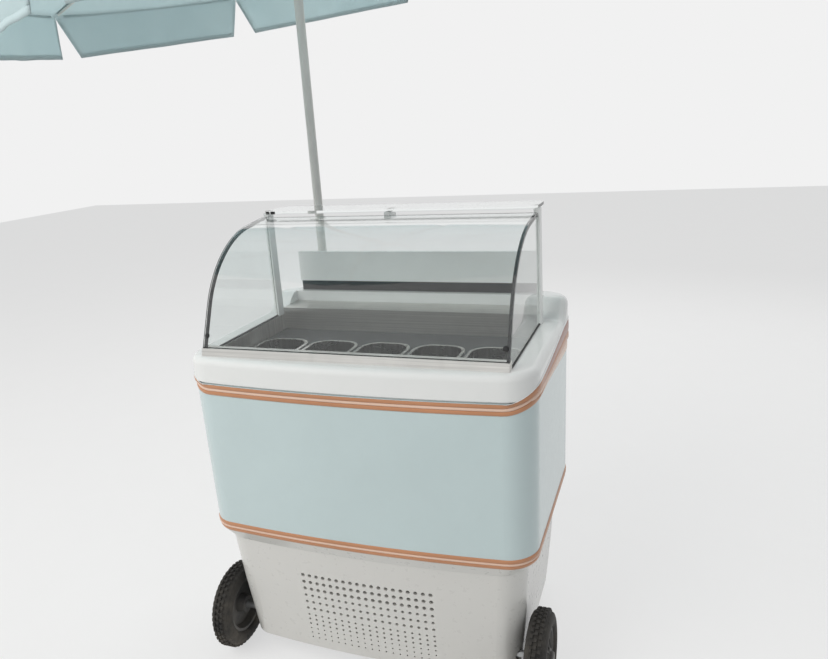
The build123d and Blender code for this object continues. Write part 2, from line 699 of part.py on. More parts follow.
# frame of the leaning part: its Z runs up the mast from the tilt joint
LEAN_X = sin(radians(TILT)) * cos(radians(TILT_TOWARDS))
LEAN_Y = sin(radians(TILT)) * sin(radians(TILT_TOWARDS))
CANOPY = Plane(
    origin=(POLE_X, POLE_Y, TILT_Z),
    x_dir=(cos(radians(TILT)), 0, -LEAN_X),
    z_dir=(LEAN_X, LEAN_Y, cos(radians(TILT))),
)
EAVE_H = VALANCE_LOW + VALANCE_H
PEAK_H = EAVE_H + CLOTH_RISE
with BuildPart() as parasol_knuckle:
    with Locations((POLE_X, POLE_Y, TILT_Z)):
        Sphere(KNUCKLE_R)
    with BuildSketch(Plane.XY.offset(TILT_Z - KNUCKLE_COLLAR)):
        with Locations(POLE_SPOT):
            Circle(TUBE_R)
    extrude(amount=KNUCKLE_COLLAR)
    with BuildSketch(CANOPY):
        Circle(TUBE_R)
    extrude(amount=KNUCKLE_COLLAR)
    with BuildSketch(Plane.XY.offset(TILT_Z - POLE_END)):
        with Locations(POLE_SPOT):
            Circle(POLE_R + POLE_FIT)
    extrude(amount=-KNUCKLE_COLLAR, mode=Mode.SUBTRACT)
    with BuildSketch(CANOPY.offset(POLE_END)):
        Circle(POLE_R + POLE_FIT)
    extrude(amount=KNUCKLE_COLLAR, mode=Mode.SUBTRACT)
save(parasol_knuckle.part, "parasol_knuckle")
with BuildPart() as parasol_mast:
    with BuildSketch(CANOPY.offset(POLE_END)):
        Circle(POLE_R)
    extrude(amount=PEAK_H + 2 * POLE_R - POLE_END)
save(parasol_mast.part, "parasol_mast")

# cloth: eight flat fields to the eave, then a flap on each side with slits between
RIB_ANGLES = [RIB_TURN + i * 360.0 / RIB_COUNT for i in range(RIB_COUNT)]
with BuildPart() as parasol_cloth:
    with BuildSketch(CANOPY.offset(EAVE_H)):
        RegularPolygon(CLOTH_R, RIB_COUNT, rotation=RIB_TURN)
    with BuildSketch(CANOPY.offset(PEAK_H)):
        RegularPolygon(CLOTH_TOP_R, RIB_COUNT, rotation=RIB_TURN)
    loft(ruled=True)
    with BuildSketch(CANOPY.offset(VALANCE_LOW)):
        RegularPolygon(CLOTH_R, RIB_COUNT, rotation=RIB_TURN)
    extrude(amount=VALANCE_H)
    with BuildSketch(CANOPY.offset(EAVE_H - CLOTH_T)):
        RegularPolygon(CLOTH_R - CLOTH_T, RIB_COUNT, rotation=RIB_TURN)
    with BuildSketch(CANOPY.offset(PEAK_H - CLOTH_T)):
        RegularPolygon(CLOTH_TOP_R - CLOTH_T, RIB_COUNT, rotation=RIB_TURN)
    loft(ruled=True, mode=Mode.SUBTRACT)
    with BuildSketch(CANOPY.offset(VALANCE_LOW)):
        RegularPolygon(CLOTH_R - CLOTH_T, RIB_COUNT, rotation=RIB_TURN)
    extrude(amount=VALANCE_H - CLOTH_T, mode=Mode.SUBTRACT)
    for angle in RIB_ANGLES:
        out = CANOPY.x_dir * cos(radians(angle)) + CANOPY.y_dir * sin(radians(angle))
        corner = CANOPY.origin + out * (CLOTH_R - VALANCE_SLIT) + CANOPY.z_dir * VALANCE_LOW
        with BuildSketch(Plane(origin=corner, x_dir=CANOPY.z_dir.cross(out), z_dir=out)):
            with BuildLine():
                Polyline(
                    (-VALANCE_SLIT / 2, 0), (VALANCE_SLIT / 2, 0), (0, VALANCE_H - 4 * CLOTH_T),
                    close=True,
                )
            make_face()
        extrude(amount=2 * VALANCE_SLIT, mode=Mode.SUBTRACT)
    with BuildSketch(CANOPY.offset(PEAK_H - CLOTH_RISE / 2)):
        Circle(POLE_R + POLE_FIT)
    extrude(amount=CLOTH_RISE, mode=Mode.SUBTRACT)
save(parasol_cloth.part, "parasol_cloth")

# ribs under the cloth's ridges, and the struts that hold them up
FALL = CLOTH_RISE / (CLOTH_R - CLOTH_TOP_R)
HUB_H = PEAK_H - RIB_HUB_DROP
RIB_REACH = CLOTH_R - 8 * CLOTH_T
RIB_START = RIB_HUB_R - 6.0
RIDGE_H = PEAK_H - CLOTH_T - (RIB_REACH - CLOTH_TOP_R + CLOTH_T) * FALL
RIB_LOW_H = RIDGE_H - (RIB_R + RIB_FIT) * (1 + (FALL / cos(radians(180 / RIB_COUNT))) ** 2) ** 0.5
RIB_FALL = (HUB_H - RIB_LOW_H) / (RIB_REACH - RIB_START)
STRUT_TOP_H = HUB_H - (STRUT_REACH - RIB_START) * RIB_FALL - RIB_R - STRUT_R - 2.0
RUNNER_LEN = 44.0
# columns: node, hub radius, hub bottom, hub top, rod radius, start reach and height, end ones
for node, hub_r, h0, h1, rod_r, start, end in (
    ("parasol_ribs", RIB_HUB_R, HUB_H - 16.0, HUB_H + 8.0, RIB_R,
     (RIB_START, HUB_H), (RIB_REACH, RIB_LOW_H)),
    ("parasol_struts", RUNNER_R, RUNNER_H - RUNNER_LEN / 2, RUNNER_H + RUNNER_LEN / 2, STRUT_R,
     (RUNNER_R - 5.0, RUNNER_H), (STRUT_REACH, STRUT_TOP_H)),
):
    with BuildPart() as star:
        with BuildSketch(CANOPY.offset(h0)):
            Circle(hub_r)
            Circle(POLE_R + POLE_FIT, mode=Mode.SUBTRACT)
        extrude(amount=h1 - h0)
        for angle in RIB_ANGLES:
            out = CANOPY.x_dir * cos(radians(angle)) + CANOPY.y_dir * sin(radians(angle))
            a = CANOPY.origin + out * start[0] + CANOPY.z_dir * start[1]
            b = CANOPY.origin + out * end[0] + CANOPY.z_dir * end[1]
            with BuildSketch(Plane(origin=a, z_dir=b - a)):
                Circle(rod_r)
            extrude(amount=(b - a).length)
    save(star.part, node)

# shared origin: on the ground under the middle of the box round all pieces
boxes = [piece.bounding_box() for piece in pieces]
MID_X = (min(box.min.X for box in boxes) + max(box.max.X for box in boxes)) / 2
MID_Y = (min(box.min.Y for box in boxes) + max(box.max.Y for box in boxes)) / 2
TO_ORIGIN = Location((-MID_X, -MID_Y, 0))
for piece in pieces:
    export_step(piece.moved(TO_ORIGIN), f"parts/{piece.label}.step")
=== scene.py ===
"""Looks of the ice cream scooping cart, built round its CAD model.

Materials, stripes, gaskets, tyres, parasol cloth, small fastenings, light and camera.
Lengths are in metres. Places are given round the chest's own middle, with +x to its right end
and -y to the customer, and P() brings them into the shared frame.
"""

from math import atan2, cos, pi, radians, sin, sqrt, tan

import bpy
from mathutils import Matrix, Vector, noise


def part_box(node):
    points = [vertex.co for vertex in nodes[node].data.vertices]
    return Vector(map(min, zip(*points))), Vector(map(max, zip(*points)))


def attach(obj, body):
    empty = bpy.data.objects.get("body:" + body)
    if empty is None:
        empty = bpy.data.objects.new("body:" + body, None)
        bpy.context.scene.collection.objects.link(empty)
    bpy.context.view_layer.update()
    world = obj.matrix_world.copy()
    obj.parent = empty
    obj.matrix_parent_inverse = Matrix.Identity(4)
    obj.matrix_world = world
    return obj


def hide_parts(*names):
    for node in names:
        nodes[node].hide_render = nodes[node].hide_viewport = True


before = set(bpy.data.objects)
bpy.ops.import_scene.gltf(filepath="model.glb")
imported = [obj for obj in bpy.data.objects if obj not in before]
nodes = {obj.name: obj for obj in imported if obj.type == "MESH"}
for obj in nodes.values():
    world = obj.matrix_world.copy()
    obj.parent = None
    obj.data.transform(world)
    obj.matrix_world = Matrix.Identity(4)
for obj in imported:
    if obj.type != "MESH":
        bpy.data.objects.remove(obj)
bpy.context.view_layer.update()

SIDES = (("left", -1), ("right", 1))
TUB_COUNT = 5
WHEEL_X, WHEEL_Y, WHEEL_R = 0.456, -0.220, 0.125
CASTER_X, CASTER_Y = 0.252, 0.112
CASTER_AXLE_Y, CASTER_R = 0.150, 0.080

# the chest's own middle in the shared frame, found from the board behind the tubs
BOARD_REAR_Y = 0.262
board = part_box("rear_upstand")
OX = (board[0].x + board[1].x) / 2
OY = board[1].y - BOARD_REAR_Y


def P(x, y, z):
    """A point given round the chest's middle, in the shared frame."""
    return Vector((x + OX, y + OY, z))


# ---------------------------------------------------------------- shader nodes
def tree(name):
    """A new material, its node tree and its main shader."""
    m = bpy.data.materials.new(name)
    m.use_nodes = True
    return m, m.node_tree, m.node_tree.nodes["Principled BSDF"]


def add_node(nt, kind, **values):
    """A new node. Each value goes to the input of that name, with _ for a space."""
    n = nt.nodes.new("ShaderNode" + kind)
    for name, value in values.items():
        n.inputs[name.replace("_", " ")].default_value = value
    return n


def link(nt, a, b):
    nt.links.new(a, b)


def feed(nt, socket, value):
    """Puts a number, a colour or another node's output into a socket."""
    if isinstance(value, (int, float)):
        socket.default_value = value
    elif isinstance(value, tuple):
        socket.default_value = (*value, 1)
    else:
        link(nt, value, socket)


def coords(nt, scale=(1, 1, 1)):
    """Object coordinates, scaled along each axis."""
    place = add_node(nt, "TexCoord")
    mapping = add_node(nt, "Mapping", Scale=scale)
    link(nt, place.outputs["Object"], mapping.inputs["Vector"])
    return mapping.outputs["Vector"]


def one_axis(nt, axis):
    """The object coordinate along one axis."""
    place = add_node(nt, "TexCoord")
    axes = add_node(nt, "SeparateXYZ")
    link(nt, place.outputs["Object"], axes.inputs["Vector"])
    return axes.outputs[axis]


def noise_node(nt, vec, scale, detail=4.0, rough=0.55, distort=0.0):
    """Noise between 0 and 1 at a place."""
    n = add_node(nt, "TexNoise", Scale=scale, Detail=detail, Roughness=rough, Distortion=distort)
    link(nt, vec, n.inputs["Vector"])
    return n.outputs["Fac"]


def ramp(nt, fac, stops):
    """Colours along a factor, from (position, colour) pairs."""
    r = add_node(nt, "ValToRGB")
    elements = r.color_ramp.elements
    while len(elements) < len(stops):
        elements.new(0.5)
    for element, (position, col) in zip(elements, stops):
        element.position = position
        element.color = (*col, 1)
    link(nt, fac, r.inputs["Fac"])
    return r.outputs["Color"]


def mix(nt, fac, a, b):
    """Colour a where fac is 0, colour b where it is 1."""
    m = add_node(nt, "Mix")
    m.data_type = "RGBA"
    for name, value in (("Factor", fac), ("A", a), ("B", b)):
        feed(nt, m.inputs[name], value)
    return m.outputs["Result"]


def mix_shaders(nt, fac, a, b):
    """Shader a where fac is 0, shader b where it is 1."""
    m = add_node(nt, "MixShader")
    feed(nt, m.inputs["Fac"], fac)
    link(nt, a, m.inputs[1])
    link(nt, b, m.inputs[2])
    return m.outputs["Shader"]


def calc(nt, operation, a, b):
    """One sum on two values."""
    m = add_node(nt, "Math")
    m.operation = operation
    feed(nt, m.inputs[0], a)
    feed(nt, m.inputs[1], b)
    return m.outputs["Value"]


def bump(nt, height, strength, distance):
    """The normal of a surface with fine relief."""
    b = add_node(nt, "Bump", Strength=strength, Distance=distance)
    link(nt, height, b.inputs["Height"])
    return b.outputs["Normal"]


def map_range(nt, value, to_low=0.0, to_high=1.0, low=0.0, high=1.0, smooth=False):
    """A value between low and high, brought between to_low and to_high."""
    m = add_node(nt, "MapRange", From_Min=low, From_Max=high, To_Min=to_low, To_Max=to_high)
    if smooth:
        m.interpolation_type = "SMOOTHSTEP"
    link(nt, value, m.inputs["Value"])
    return m.outputs["Result"]


def shade(col, k):
    """A colour made darker or lighter by a factor."""
    return tuple(max(0.0, min(1.0, v * k)) for v in col)


def grey(k):
    return (k, k, k)


def mottled(nt, fac, base, vary):
    """A colour that wanders a little to either side of its base."""
    return ramp(nt, fac, [(0.30, shade(base, 1 - vary)), (0.70, shade(base, 1 + vary))])


# ---------------------------------------------------------------- kinds of material
# stretch of the chest's ends over which a stripe takes its end colour
END_FADE_Y = (-0.285, -0.080)


def surface(name, base, rough, metal=0.0, grain=60.0, vary=0.05, fine=0.0, fine_scale=900.0,
            stretch=(1, 1, 1), spec=0.5, coat=0.0, dust=0.0, dust_z=(0.05, 0.35),
            dust_col=(0.33, 0.30, 0.25), end=None):
    """A painted, moulded or metal surface: uneven colour and gloss, with fine relief.

    dust is its share low down, fading out between the two heights dust_z. end is the colour
    that the surface turns to along the chest's ends.
    """
    m, nt, b = tree(name)
    vec = coords(nt)
    big = noise_node(nt, vec, 5.0, 3.0, 0.6)
    mid = noise_node(nt, coords(nt, stretch), grain, 5.0, 0.6)
    specks = ramp(nt, mid, [(0.35, grey(0.0)), (0.75, grey(vary * 1.6))])
    col = mix(nt, specks, mottled(nt, big, base, vary), shade(base, 0.72))
    if end:
        along = map_range(nt, one_axis(nt, "Y"), low=OY + END_FADE_Y[0], high=OY + END_FADE_Y[1],
                          smooth=True)
        col = mix(nt, along, col, mottled(nt, big, end, vary))
    if dust:
        low_down = map_range(nt, one_axis(nt, "Z"), low=dust_z[1], high=dust_z[0])
        patches = ramp(nt, noise_node(nt, vec, 14.0, 6.0, 0.7),
                       [(0.38, grey(0.0)), (0.68, grey(dust))])
        col = mix(nt, calc(nt, "MULTIPLY", low_down, patches), col, dust_col)
    link(nt, col, b.inputs["Base Color"])
    gloss = map_range(nt, mid, max(0.02, rough - 0.06), min(1.0, rough + 0.08))
    link(nt, gloss, b.inputs["Roughness"])
    b.inputs["Metallic"].default_value = metal
    b.inputs["Specular IOR Level"].default_value = spec
    b.inputs["Coat Weight"].default_value = coat
    b.inputs["Coat Roughness"].default_value = 0.06
    if fine:
        relief = noise_node(nt, coords(nt, stretch), fine_scale, 2.0, 0.5)
        link(nt, bump(nt, relief, fine, 0.0006), b.inputs["Normal"])
    return m


def brushed(name, base, rough, along="x", depth=0.25):
    """Brushed sheet steel, its lines running one way, with faint smears."""
    m, nt, b = tree(name)
    scale = tuple(2.0 if axis == along else 260.0 for axis in "xyz")
    lines = noise_node(nt, coords(nt, scale), 1.0, 3.0, 0.7)
    smear = noise_node(nt, coords(nt, (3.0, 3.0, 3.0)), 3.0, 5.0, 0.6, 1.2)
    col = ramp(nt, lines, [(0.3, shade(base, 0.82)), (0.7, shade(base, 1.12))])
    dull = ramp(nt, smear, [(0.4, grey(0.0)), (0.75, grey(0.35))])
    link(nt, mix(nt, dull, col, shade(base, 0.78)), b.inputs["Base Color"])
    link(nt, map_range(nt, smear, rough - 0.06, rough + 0.12), b.inputs["Roughness"])
    b.inputs["Metallic"].default_value = 1.0
    link(nt, bump(nt, lines, depth, 0.0004), b.inputs["Normal"])
    return m


def glass(name, tint):
    """Clear glass with faint smears. Light from the lamps goes through it as through a filter."""
    m, nt, b = tree(name)
    smear = noise_node(nt, coords(nt), 7.0, 6.0, 0.6, 0.8)
    col = ramp(nt, smear, [(0.3, tint), (0.75, shade(tint, 0.965))])
    link(nt, col, b.inputs["Base Color"])
    link(nt, map_range(nt, smear, 0.01, 0.04), b.inputs["Roughness"])
    b.inputs["Transmission Weight"].default_value = 1.0
    b.inputs["IOR"].default_value = 1.5
    rays = add_node(nt, "LightPath")
    through = add_node(nt, "BsdfTransparent", Color=(*tint, 1))
    both = mix_shaders(nt, rays.outputs["Is Shadow Ray"], b.outputs["BSDF"],
                       through.outputs["BSDF"])
    link(nt, both, nt.nodes["Material Output"].inputs["Surface"])
    return m


# share of the sun that comes through the cloth
CLOTH_THROUGH = 0.48


def cloth_material():
    """Coated parasol cloth: fine weave, slightly uneven colour, some sun coming through."""
    m, nt, b = tree("parasol_cloth")
    vec = coords(nt)
    big = noise_node(nt, vec, 2.2, 4.0, 0.55)
    col = ramp(nt, big, [(0.3, (0.68, 0.785, 0.80)), (0.7, (0.75, 0.845, 0.855))])
    weave = add_node(nt, "TexWave", Scale=420.0, Distortion=0.4)
    weave.bands_direction = "DIAGONAL"
    link(nt, vec, weave.inputs["Vector"])
    relief = mix(nt, 0.5, weave.outputs["Color"], noise_node(nt, vec, 900.0, 2.0, 0.5))
    threads = ramp(nt, weave.outputs["Fac"], [(0.0, grey(0.10)), (1.0, grey(0.0))])
    col = mix(nt, threads, col, (0.58, 0.70, 0.73))
    link(nt, col, b.inputs["Base Color"])
    b.inputs["Roughness"].default_value = 0.78
    b.inputs["Sheen Weight"].default_value = 0.25
    b.inputs["Specular IOR Level"].default_value = 0.25
    link(nt, bump(nt, relief, 0.25, 0.0005), b.inputs["Normal"])
    lit_through = add_node(nt, "BsdfTranslucent")
    link(nt, col, lit_through.inputs["Color"])
    both = mix_shaders(nt, CLOTH_THROUGH, b.outputs["BSDF"], lit_through.outputs["BSDF"])
    link(nt, both, nt.nodes["Material Output"].inputs["Surface"])
    return m


# ---------------------------------------------------------------- the cart's materials
COPPER, PEACH, RUSSET_END_SHADE = (0.52, 0.235, 0.115), (0.76, 0.54, 0.42), (0.30, 0.105, 0.065)

# the skirt's white is set darker than the rim's white: painted shade on the lower part of the
# cart
white = surface("white_moulding", (0.67, 0.662, 0.635), 0.28, vary=0.010, fine=0.025,
                fine_scale=300.0, coat=0.25, dust=0.10, dust_z=(0.05, 0.20))
rim_white = surface("rim_moulding", (0.80, 0.81, 0.80), 0.20, vary=0.015, fine=0.06,
                    fine_scale=300.0, coat=0.35)
aqua = surface("aqua_panel", (0.545, 0.650, 0.658), 0.22, vary=0.02, fine=0.06,
               fine_scale=300.0, coat=0.35)
white_plastic = surface("white_plastic", (0.85, 0.86, 0.85), 0.36, vary=0.03, fine=0.18)
steel_x = brushed("steel_sheet_x", (0.72, 0.71, 0.68), 0.38, "x")
steel_well = brushed("steel_well", (0.74, 0.73, 0.71), 0.36, "z", 0.15)
steel_tub = brushed("steel_tub", (0.66, 0.66, 0.64), 0.24, "z", 0.10)
zinc = surface("zinc_steel", (0.42, 0.43, 0.44), 0.40, metal=0.9, vary=0.12, grain=34.0,
               fine=0.2, fine_scale=500.0, dust=0.6, dust_z=(0.0, 0.25))
dark_metal = surface("dark_metal", (0.035, 0.036, 0.040), 0.45, metal=0.3, vary=0.15, fine=0.25)
deck_mat = surface("dark_deck", (0.045, 0.048, 0.052), 0.38, vary=0.2, fine=0.3,
                   fine_scale=700.0)
rubber = surface("black_seal", (0.018, 0.018, 0.019), 0.55, vary=0.2, fine=0.3)
tyre_rubber = surface("tyre_rubber", (0.030, 0.029, 0.028), 0.82, vary=0.35, grain=90.0,
                      fine=0.6, fine_scale=520.0, dust=0.75, dust_z=(-0.05, 0.30),
                      dust_col=(0.20, 0.175, 0.14))
wheel_mat = surface("wheel_plastic", (0.055, 0.056, 0.058), 0.50, vary=0.2, fine=0.35,
                    dust=0.5, dust_z=(0.0, 0.3))
caster_tyre = surface("caster_rubber", (0.12, 0.12, 0.125), 0.65, vary=0.25, fine=0.4,
                      dust=0.7, dust_z=(0.0, 0.2))
pole_mat = surface("pole_paint", (0.72, 0.71, 0.68), 0.34, vary=0.05, grain=22.0, fine=0.15,
                   fine_scale=350.0, stretch=(1, 1, 0.08))
clear = glass("clear_glass", (0.96, 0.985, 0.98))
bolt_mat = surface("bolt_zinc", (0.55, 0.55, 0.55), 0.32, metal=1.0, vary=0.12, fine=0.2)
cloth_mat = cloth_material()
hem_mat = surface("cloth_hem", (0.53, 0.645, 0.665), 0.8, vary=0.05, grain=300.0, fine=0.4)
line_low = surface("stripe_low", COPPER, 0.34, vary=0.07, grain=120.0, coat=0.25, end=PEACH)
line_mid = surface("stripe_mid", PEACH, 0.32, vary=0.04, coat=0.25, end=COPPER)
# along the ends the top line turns dark russet: painted shade of the shaded end
line_top = surface("stripe_top", COPPER, 0.34, vary=0.07, grain=120.0, coat=0.25, end=RUSSET_END_SHADE)
line_foot = surface("stripe_foot", COPPER, 0.34, vary=0.07, grain=120.0, coat=0.25)
filter_mat = surface("vent_filter", (0.020, 0.021, 0.022), 0.7, vary=0.3, grain=200.0, fine=0.4)

look = {
    "lower_skirt": white, "upper_body": aqua, "rim_moulding": rim_white,
    "well_liner": steel_well, "tub_deck": deck_mat, "rear_ledge": steel_x,
    "upstand_foot": rubber, "rear_upstand": white_plastic, "sill_strip": steel_x,
    "front_glass": clear, "shelf_glass": clear, "top_clamp": white_plastic,
    "base_pan": zinc, "cooling_unit": dark_metal, "axle": zinc,
    "parasol_holder": dark_metal, "parasol_pole": pole_mat, "parasol_knuckle": white_plastic,
    "parasol_mast": pole_mat, "parasol_ribs": pole_mat, "parasol_struts": pole_mat,
    "parasol_cloth": cloth_mat,
}
look_of_pair = {
    "end_glass": clear, "end_seal": rubber, "post": white_plastic, "axle_block": dark_metal,
    "tyre": tyre_rubber, "wheel": wheel_mat, "hub_cap": wheel_mat, "caster_plate": zinc,
    "caster_fork": zinc, "caster_wheel": caster_tyre,
}
for tub in range(TUB_COUNT):
    look[f"tub_{tub + 1}"] = steel_tub
for name, mat in look_of_pair.items():
    for side, _ in SIDES:
        look[f"{name}_{side}"] = mat
for name, ob in nodes.items():
    ob.data.materials.clear()
    ob.data.materials.append(look[name])


# ---------------------------------------------------------------- mesh helpers
def build(name, verts, faces, mat, body="cart", smooth=True):
    """A mesh piece from points in the shared frame, riding on a body."""
    me = bpy.data.meshes.new(name)
    me.from_pydata([tuple(v) for v in verts], [], faces)
    me.materials.append(mat)
    for p in me.polygons:
        p.use_smooth = smooth
    me.update()
    ob = bpy.data.objects.new(name, me)
    bpy.context.scene.collection.objects.link(ob)
    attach(ob, body)
    return ob


def bevel(ob, width):
    """Rounds a piece's sharp edges a little, so that they catch the light."""
    b = ob.modifiers.new("edge", "BEVEL")
    b.width = width
    b.segments = 2
    b.limit_method = "ANGLE"
    b.angle_limit = radians(35)
    b.harden_normals = False


def thicken(ob, thickness, offset):
    """Gives a sheet its thickness, outwards for offset 1 and inwards for -1."""
    s = ob.modifiers.new("thick", "SOLIDIFY")
    s.thickness = thickness
    s.offset = offset


def grid_faces(rows, cols, wrap_cols=False, wrap_rows=False, base=0):
    """Four-sided faces between points that lie in rows, the first of them numbered base."""
    out = []
    for i in range(rows if wrap_rows else rows - 1):
        for j in range(cols if wrap_cols else cols - 1):
            here, above = base + i * cols, base + ((i + 1) % rows) * cols
            across = (j + 1) % cols
            out.append((here + j, here + across, above + across, above + j))
    return out


def end_caps(rings, count):
    """Faces that close the first and the last of some rings of points."""
    return [tuple(range(count))[::-1], tuple((rings - 1) * count + k for k in range(count))]


def ring_points(profile, base, axis, count, turn=0.0):
    """Rings of points round an axis from a base point, one for each (radius, height)."""
    side_dir = axis.orthogonal().normalized()
    up_dir = axis.cross(side_dir).normalized()
    verts = []
    for r, h in profile:
        for k in range(count):
            a = 2 * pi * k / count + turn
            verts.append(base + axis * h + side_dir * (r * cos(a)) + up_dir * (r * sin(a)))
    return verts


def lathe(name, profile, base, axis, mat, count=28):
    """A turned piece: (radius, height) pairs round an axis from a base point."""
    verts = ring_points(profile, base, axis, count)
    faces = grid_faces(len(profile), count, wrap_cols=True) + end_caps(len(profile), count)
    return build(name, verts, faces, mat)


def ease(t):
    """0 to 1 with a soft start and end."""
    return t * t * (3 - 2 * t)


def eased(value, table):
    """A value read from (place, value) pairs, with soft steps between them."""
    for (a, va), (b, vb) in zip(table, table[1:]):
        if value <= b:
            return va + ease((value - a) / (b - a)) * (vb - va)
    return table[-1][1]


# ---------------------------------------------------------------- chest outline
# columns: height, half length, front line, rear line, bow of the front, corner radius
SKIRT_ROWS = (
    (0.068, 0.400, -0.254, 0.258, 0.024, 0.066),
    (0.130, 0.407, -0.258, 0.261, 0.024, 0.068),
    (0.240, 0.418, -0.266, 0.267, 0.025, 0.070),
    (0.398, 0.430, -0.277, 0.277, 0.025, 0.074),
    (0.428, 0.456, -0.292, 0.293, 0.025, 0.078),
    (0.446, 0.460, -0.296, 0.296, 0.025, 0.080),
)
# the body's top, with the same columns, and the rim that stands out above it
HEAD_Z, HEAD = 0.868, (0.466, -0.298, 0.296, 0.025, 0.080)
RIM_Z, RIM_OUT, NOSE_R = 0.940, 0.004, 0.020
SWEEP_Y, SWEEP_LEN, KERB_H = 0.138, 0.094, 0.052

# segments of the plan outline, by number: front, right front corner, right end, right rear
# corner, back, and then the left side's, each with the segment that it mirrors
MIRRORED = {5: 3, 6: 2, 7: 1}
# columns: segment, steps along it
STEPS = ((0, 24), (1, 10), (2, 16), (3, 10), (4, 12), (5, 10), (6, 16), (7, 10))
PATH = [(seg, i / n) for seg, n in STEPS for i in range(n)]


def row_at(z):
    """The chest's outline at a height, with the columns of SKIRT_ROWS after the first."""
    if z >= HEAD_Z:
        half, front, rear, bow, r = HEAD
        return half + RIM_OUT, front - RIM_OUT, rear + RIM_OUT, bow, r + RIM_OUT
    rows = SKIRT_ROWS + ((HEAD_Z, *HEAD),)
    for a, b in zip(rows, rows[1:]):
        if z <= b[0]:
            t = (z - a[0]) / (b[0] - a[0])
            return tuple(p + t * (q - p) for p, q in zip(a[1:], b[1:]))


def bow_arc(half, front, bow):
    """Radius of the bowed front and the y of its centre."""
    radius = (half * half + bow * bow) / (2 * bow)
    return radius, front - bow + radius


def plan_point(row, seg, f):
    """Point and outward normal on the plan outline, by segment and share along it."""
    if seg in MIRRORED:
        (x, y), (nx, ny) = plan_point(row, MIRRORED[seg], 1 - f)
        return (-x, y), (-nx, ny)
    half, front, rear, bow, r = row
    radius, cy = bow_arc(half, front, bow)
    corner_x = half - r
    front_y = cy - sqrt((radius - r) ** 2 - corner_x * corner_x)
    rear_y = rear - r
    meet = atan2(corner_x, cy - front_y)
    if seg == 0:
        a = -meet + 2 * meet * f
        return (radius * sin(a), cy - radius * cos(a)), (sin(a), -cos(a))
    if seg == 1:
        a = meet + (pi / 2 - meet) * f
        return (corner_x + r * sin(a), front_y - r * cos(a)), (sin(a), -cos(a))
    if seg == 2:
        return (half, front_y + (rear_y - front_y) * f), (1.0, 0.0)
    if seg == 3:
        a = pi / 2 + pi / 2 * f
        return (corner_x + r * sin(a), rear_y - r * cos(a)), (sin(a), -cos(a))
    return (corner_x - 2 * corner_x * f, rear), (0.0, 1.0)


def rim_top(y):
    """Height of the rim, which sweeps up to the kerb at the back."""
    return RIM_Z + KERB_H * ease(max(0.0, min(1.0, (y - SWEEP_Y) / SWEEP_LEN)))


def skin_point(seg, f, z, out):
    """Point on the chest's outer skin at a height, moved outwards."""
    (x, y), (nx, ny) = plan_point(row_at(z), seg, f)
    nose = rim_top(y) - NOSE_R
    if z > nose:
        out -= NOSE_R - sqrt(max(0.0, NOSE_R ** 2 - (z - nose) ** 2))
    return P(x + nx * out, y + ny * out, z)


# ---------------------------------------------------------------- stripes
# section of one raised line, as share of its height and how far it stands out
BEAD = ((0.0, -0.0004), (0.07, 0.0013), (0.30, 0.0021), (0.70, 0.0021), (0.93, 0.0013),
        (1.0, -0.0004))
# how far the stripes have flared at the start and the end of segments 0 to 4
FLARE = ((0.0, 0.0), (0.0, 0.42), (0.42, 0.95), (0.95, 1.0), (1.0, 1.0))
# heights and shares of the upper stripe's lines against the flare
UPPER_LOW = ((0, 0.838), (0.42, 0.858), (1.0, 0.834))
UPPER_HIGH = ((0, 0.867), (0.42, 0.901), (1.0, 0.927))
LOW_SHARE = ((0, 0.38), (0.42, 0.36), (1.0, 0.34))
TOP_SHARE = ((0, 0.63), (0.42, 0.62), (1.0, 0.60))
# height of the thin white line above the band: a painted highlight along the foot of the rim's
# nose
LIP_HIGHLIGHT_H = ((0, 0.0002), (0.25, 0.0010), (0.45, 0.0050), (1.0, 0.0055))
LOWER_EDGES = (0.4300, 0.4410, 0.4482, 0.4590)


def band(name, edges, mats):
    """Raised lines round the chest. edges(seg, f) gives their borders, low to high."""
    for row, mat in enumerate(mats):
        verts = []
        for share, out in BEAD:
            for seg, f in PATH:
                lo, hi = edges(seg, f)[row:row + 2]
                verts.append(skin_point(seg, f, lo + share * (hi - lo), out))
        build(f"{name}_{row + 1}", verts, grid_faces(len(BEAD), len(PATH), wrap_cols=True), mat)


def flare(seg, f):
    """0 on the front, growing round the corner and along the end to 1 at the back."""
    if seg in MIRRORED:
        return flare(MIRRORED[seg], 1 - f)
    start, stop = FLARE[seg]
    return start + f * (stop - start)


def upper_edges(seg, f):
    """Three lines on the front, a broad band on the ends, and a painted highlight in white above.
    """
    t = flare(seg, f)
    lo, hi = eased(t, UPPER_LOW), eased(t, UPPER_HIGH)
    return (lo, lo + eased(t, LOW_SHARE) * (hi - lo), lo + eased(t, TOP_SHARE) * (hi - lo),
            hi, hi + eased(t, LIP_HIGHLIGHT_H))


def lower_edges(seg, f):
    """The lower stripe runs level all round."""
    return LOWER_EDGES


# the fourth line, in rim white, is a painted highlight along the foot of the rim's nose
band("stripe_upper", upper_edges, [line_low, line_mid, line_top, rim_white])
band("stripe_lower", lower_edges, [line_foot, line_mid, line_foot])


# ---------------------------------------------------------------- filter behind the vent holes
FILTER_ROWS, FILTER_COLS = 10, 31
FILTER_LEN, FILTER_Z0, FILTER_H = 0.412, 0.082, 0.254
FILTER_IN = 0.0175
PLEAT, PLEAT_COLS = 0.0018, 3


